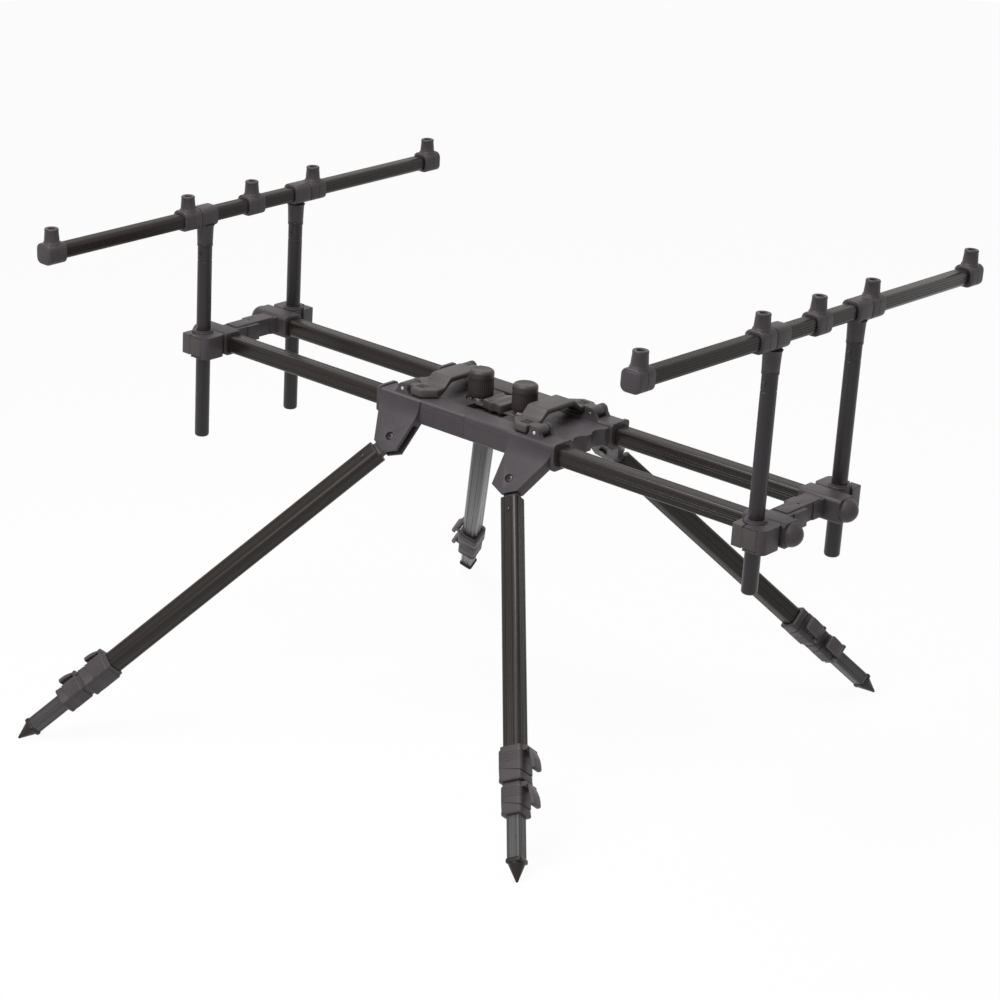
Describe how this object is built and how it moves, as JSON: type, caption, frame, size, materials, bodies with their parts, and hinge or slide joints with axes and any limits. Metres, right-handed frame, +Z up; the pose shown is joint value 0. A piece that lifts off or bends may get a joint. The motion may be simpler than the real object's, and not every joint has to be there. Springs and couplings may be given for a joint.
{
  "type": "rod pod",
  "caption": "Carp fishing rod pod with twin rails, sliding rod bars with threaded sockets, and folding telescopic legs with spikes.",
  "frame": {"origin": "on the ground, under the middle of the box around the part", "axes": "+X along the rails' level direction towards the end with the higher rod bar, +Y towards the far rod ends, +Z up"},
  "size_m": [0.8756, 0.7701, 0.5969],
  "materials": {
    "anodised_tube": "satin black anodised",
    "moulded_plastic": "fine moulded texture",
    "lever_plastic": "smooth moulded",
    "steel": "bright ends"
  },
  "bodies": {
    "body": {"body_left": "moulded_plastic", "body_right": "moulded_plastic", "link_plate": "moulded_plastic", "steel_hardware": "steel"},
    "knob_left": {"knob_left": "lever_plastic"},
    "cam_lever_left": {"cam_lever_left": "lever_plastic"},
    "left_carriage": {"left_rails": "anodised_tube", "left_end_bracket": "moulded_plastic"},
    "left_rod_bar": {"left_posts": "anodised_tube", "left_tees": "moulded_plastic", "left_bar": "anodised_tube", "left_sockets": "moulded_plastic"},
    "knob_right": {"knob_right": "lever_plastic"},
    "cam_lever_right": {"cam_lever_right": "lever_plastic"},
    "right_carriage": {"right_rails": "anodised_tube", "right_end_bracket": "moulded_plastic"},
    "right_rod_bar": {"right_posts": "anodised_tube", "right_tees": "moulded_plastic", "right_bar": "anodised_tube", "right_sockets": "moulded_plastic"},
    "near_left_post_lever": {"near_left_post_lever": "lever_plastic"},
    "near_right_post_lever": {"near_right_post_lever": "lever_plastic"},
    "far_left_post_lever": {"far_left_post_lever": "lever_plastic"},
    "far_right_post_lever": {"far_right_post_lever": "lever_plastic"},
    "near_left_leg": {"near_left_knuckle": "moulded_plastic", "near_left_outer_tube": "anodised_tube", "near_left_upper_collar": "moulded_plastic"},
    "near_left_middle": {"near_left_middle_tube": "anodised_tube", "near_left_lower_collar": "moulded_plastic"},
    "near_left_inner": {"near_left_inner_tube": "anodised_tube", "near_left_spike": "anodised_tube"},
    "near_left_upper_clamp": {"near_left_upper_lever": "lever_plastic"},
    "near_left_lower_clamp": {"near_left_lower_lever": "lever_plastic"},
    "near_right_leg": {"near_right_knuckle": "moulded_plastic", "near_right_outer_tube": "anodised_tube", "near_right_upper_collar": "moulded_plastic"},
    "near_right_middle": {"near_right_middle_tube": "anodised_tube", "near_right_lower_collar": "moulded_plastic"},
    "near_right_inner": {"near_right_inner_tube": "anodised_tube", "near_right_spike": "anodised_tube"},
    "near_right_upper_clamp": {"near_right_upper_lever": "lever_plastic"},
    "near_right_lower_clamp": {"near_right_lower_lever": "lever_plastic"},
    "far_left_leg": {"far_left_knuckle": "moulded_plastic", "far_left_outer_tube": "anodised_tube", "far_left_upper_collar": "moulded_plastic"},
    "far_left_middle": {"far_left_middle_tube": "anodised_tube", "far_left_lower_collar": "moulded_plastic"},
    "far_left_inner": {"far_left_inner_tube": "anodised_tube", "far_left_spike": "anodised_tube"},
    "far_left_upper_clamp": {"far_left_upper_lever": "lever_plastic"},
    "far_left_lower_clamp": {"far_left_lower_lever": "lever_plastic"},
    "far_right_leg": {"far_right_knuckle": "moulded_plastic", "far_right_outer_tube": "anodised_tube", "far_right_upper_collar": "moulded_plastic"},
    "far_right_middle": {"far_right_middle_tube": "anodised_tube", "far_right_lower_collar": "moulded_plastic"},
    "far_right_inner": {"far_right_inner_tube": "anodised_tube", "far_right_spike": "anodised_tube"},
    "far_right_upper_clamp": {"far_right_upper_lever": "lever_plastic"},
    "far_right_lower_clamp": {"far_right_lower_lever": "lever_plastic"}
  },
  "joints": [
    {"name": "knob_left_turn", "type": "hinge", "parent": "body", "child": "knob_left", "pos_m": [-0.03029, 0, 0.38351], "axis": [0.1031, 0, 0.9947], "continuous": true},
    {"name": "cam_lever_left_lift", "type": "hinge", "parent": "body", "child": "cam_lever_left", "pos_m": [-0.09348, 0, 0.39469], "axis": [0, -1, 0], "range_deg": [0, 60]},
    {"name": "left_rails_slide", "type": "slide", "parent": "body", "child": "left_carriage", "axis": [-0.9947, 0, 0.1031], "range_m": [0, 0.08]},
    {"name": "left_bar_height", "type": "slide", "parent": "left_carriage", "child": "left_rod_bar", "axis": [0.1031, 0, 0.9947], "range_m": [-0.09, 0.09]},
    {"name": "knob_right_turn", "type": "hinge", "parent": "body", "child": "knob_right", "pos_m": [0.03337, 0, 0.37691], "axis": [0.1031, 0, 0.9947], "continuous": true},
    {"name": "cam_lever_right_lift", "type": "hinge", "parent": "body", "child": "cam_lever_right", "pos_m": [0.0975, 0, 0.37489], "axis": [0, 1, 0], "range_deg": [0, 60]},
    {"name": "right_rails_slide", "type": "slide", "parent": "body", "child": "right_carriage", "axis": [0.9947, 0, -0.1031], "range_m": [0, 0.08]},
    {"name": "right_bar_height", "type": "slide", "parent": "right_carriage", "child": "right_rod_bar", "axis": [0.1031, 0, 0.9947], "range_m": [-0.14, 0.04]},
    {"name": "near_left_post_lever_turn", "type": "hinge", "parent": "left_carriage", "child": "near_left_post_lever", "pos_m": [-0.38494, -0.09155, 0.4053], "axis": [0.1031, 0, 0.9947], "range_deg": [0, 70]},
    {"name": "near_right_post_lever_turn", "type": "hinge", "parent": "right_carriage", "child": "near_right_post_lever", "pos_m": [0.4108, -0.09155, 0.32279], "axis": [0.1031, 0, 0.9947], "range_deg": [0, 70]},
    {"name": "far_left_post_lever_turn", "type": "hinge", "parent": "left_carriage", "child": "far_left_post_lever", "pos_m": [-0.4108, 0.09155, 0.40798], "axis": [0.1031, 0, 0.9947], "range_deg": [0, 70]},
    {"name": "far_right_post_lever_turn", "type": "hinge", "parent": "right_carriage", "child": "far_right_post_lever", "pos_m": [0.38494, 0.09155, 0.32548], "axis": [0.1031, 0, 0.9947], "range_deg": [0, 70]},
    {"name": "near_left_leg_swing", "type": "hinge", "parent": "body", "child": "near_left_leg", "pos_m": [-0.09037, -0.08155, 0.3413], "axis": [0.0652, -0.7749, 0.6287], "range_deg": [0, 30]},
    {"name": "near_left_middle_slide", "type": "slide", "parent": "near_left_leg", "child": "near_left_middle", "axis": [-0.5751, -0.544, -0.611], "range_m": [0, 0.3]},
    {"name": "near_left_inner_slide", "type": "slide", "parent": "near_left_middle", "child": "near_left_inner", "axis": [-0.5751, -0.544, -0.611], "range_m": [-0.042, 0.28]},
    {"name": "near_left_upper_clamp_open", "type": "hinge", "parent": "near_left_leg", "child": "near_left_upper_clamp", "pos_m": [-0.3452, -0.30379, 0.09376], "axis": [-0.0652, 0.7749, -0.6287], "range_deg": [0, 100]},
    {"name": "near_left_lower_clamp_open", "type": "hinge", "parent": "near_left_middle", "child": "near_left_lower_clamp", "pos_m": [-0.36657, -0.32565, 0.06903], "axis": [-0.0652, 0.7749, -0.6287], "range_deg": [0, 100]},
    {"name": "near_right_leg_swing", "type": "hinge", "parent": "body", "child": "near_right_leg", "pos_m": [0.0835, -0.08155, 0.32327], "axis": [-0.0652, 0.7749, -0.6287], "range_deg": [0, 30]},
    {"name": "near_right_middle_slide", "type": "slide", "parent": "near_right_leg", "child": "near_right_middle", "axis": [0.45, -0.5395, -0.7117], "range_m": [0, 0.2]},
    {"name": "near_right_inner_slide", "type": "slide", "parent": "near_right_middle", "child": "near_right_inner", "axis": [0.45, -0.5395, -0.7117], "range_m": [-0.042, 0.18]},
    {"name": "near_right_upper_clamp_open", "type": "hinge", "parent": "near_right_leg", "child": "near_right_upper_clamp", "pos_m": [0.24044, -0.24565, 0.10471], "axis": [0.0652, -0.7749, 0.6287], "range_deg": [0, 100]},
    {"name": "near_right_lower_clamp_open", "type": "hinge", "parent": "near_right_middle", "child": "near_right_lower_clamp", "pos_m": [0.25679, -0.26735, 0.07627], "axis": [0.0652, -0.7749, 0.6287], "range_deg": [0, 100]},
    {"name": "far_left_leg_swing", "type": "hinge", "parent": "body", "child": "far_left_leg", "pos_m": [-0.09037, 0.08155, 0.3413], "axis": [-0.0652, -0.7749, -0.6287], "range_deg": [0, 30]},
    {"name": "far_left_middle_slide", "type": "slide", "parent": "far_left_leg", "child": "far_left_middle", "axis": [-0.5594, 0.5501, -0.6201], "range_m": [0, 0.3]},
    {"name": "far_left_inner_slide", "type": "slide", "parent": "far_left_middle", "child": "far_left_inner", "axis": [-0.5594, 0.5501, -0.6201], "range_m": [-0.042, 0.28]},
    {"name": "far_left_upper_clamp_open", "type": "hinge", "parent": "far_left_leg", "child": "far_left_upper_clamp", "pos_m": [-0.33421, 0.30201, 0.09481], "axis": [0.0652, 0.7749, 0.6287], "range_deg": [0, 100]},
    {"name": "far_left_lower_clamp_open", "type": "hinge", "parent": "far_left_middle", "child": "far_left_lower_clamp", "pos_m": [-0.35495, 0.3241, 0.06974], "axis": [0.0652, 0.7749, 0.6287], "range_deg": [0, 100]},
    {"name": "far_right_leg_swing", "type": "hinge", "parent": "body", "child": "far_right_leg", "pos_m": [0.0835, 0.08155, 0.32327], "axis": [0.0652, 0.7749, 0.6287], "range_deg": [0, 30]},
    {"name": "far_right_middle_slide", "type": "slide", "parent": "far_right_leg", "child": "far_right_middle", "axis": [0.45, 0.5395, -0.7117], "range_m": [0, 0.2]},
    {"name": "far_right_inner_slide", "type": "slide", "parent": "far_right_middle", "child": "far_right_inner", "axis": [0.45, 0.5395, -0.7117], "range_m": [-0.042, 0.18]},
    {"name": "far_right_upper_clamp_open", "type": "hinge", "parent": "far_right_leg", "child": "far_right_upper_clamp", "pos_m": [0.25349, 0.2613, 0.08407], "axis": [0.0652, 0.7749, 0.6287], "range_deg": [0, 100]},
    {"name": "far_right_lower_clamp_open", "type": "hinge", "parent": "far_right_middle", "child": "far_right_lower_clamp", "pos_m": [0.26804, 0.28083, 0.05847], "axis": [0.0652, 0.7749, 0.6287], "range_deg": [0, 100]}
  ]
}
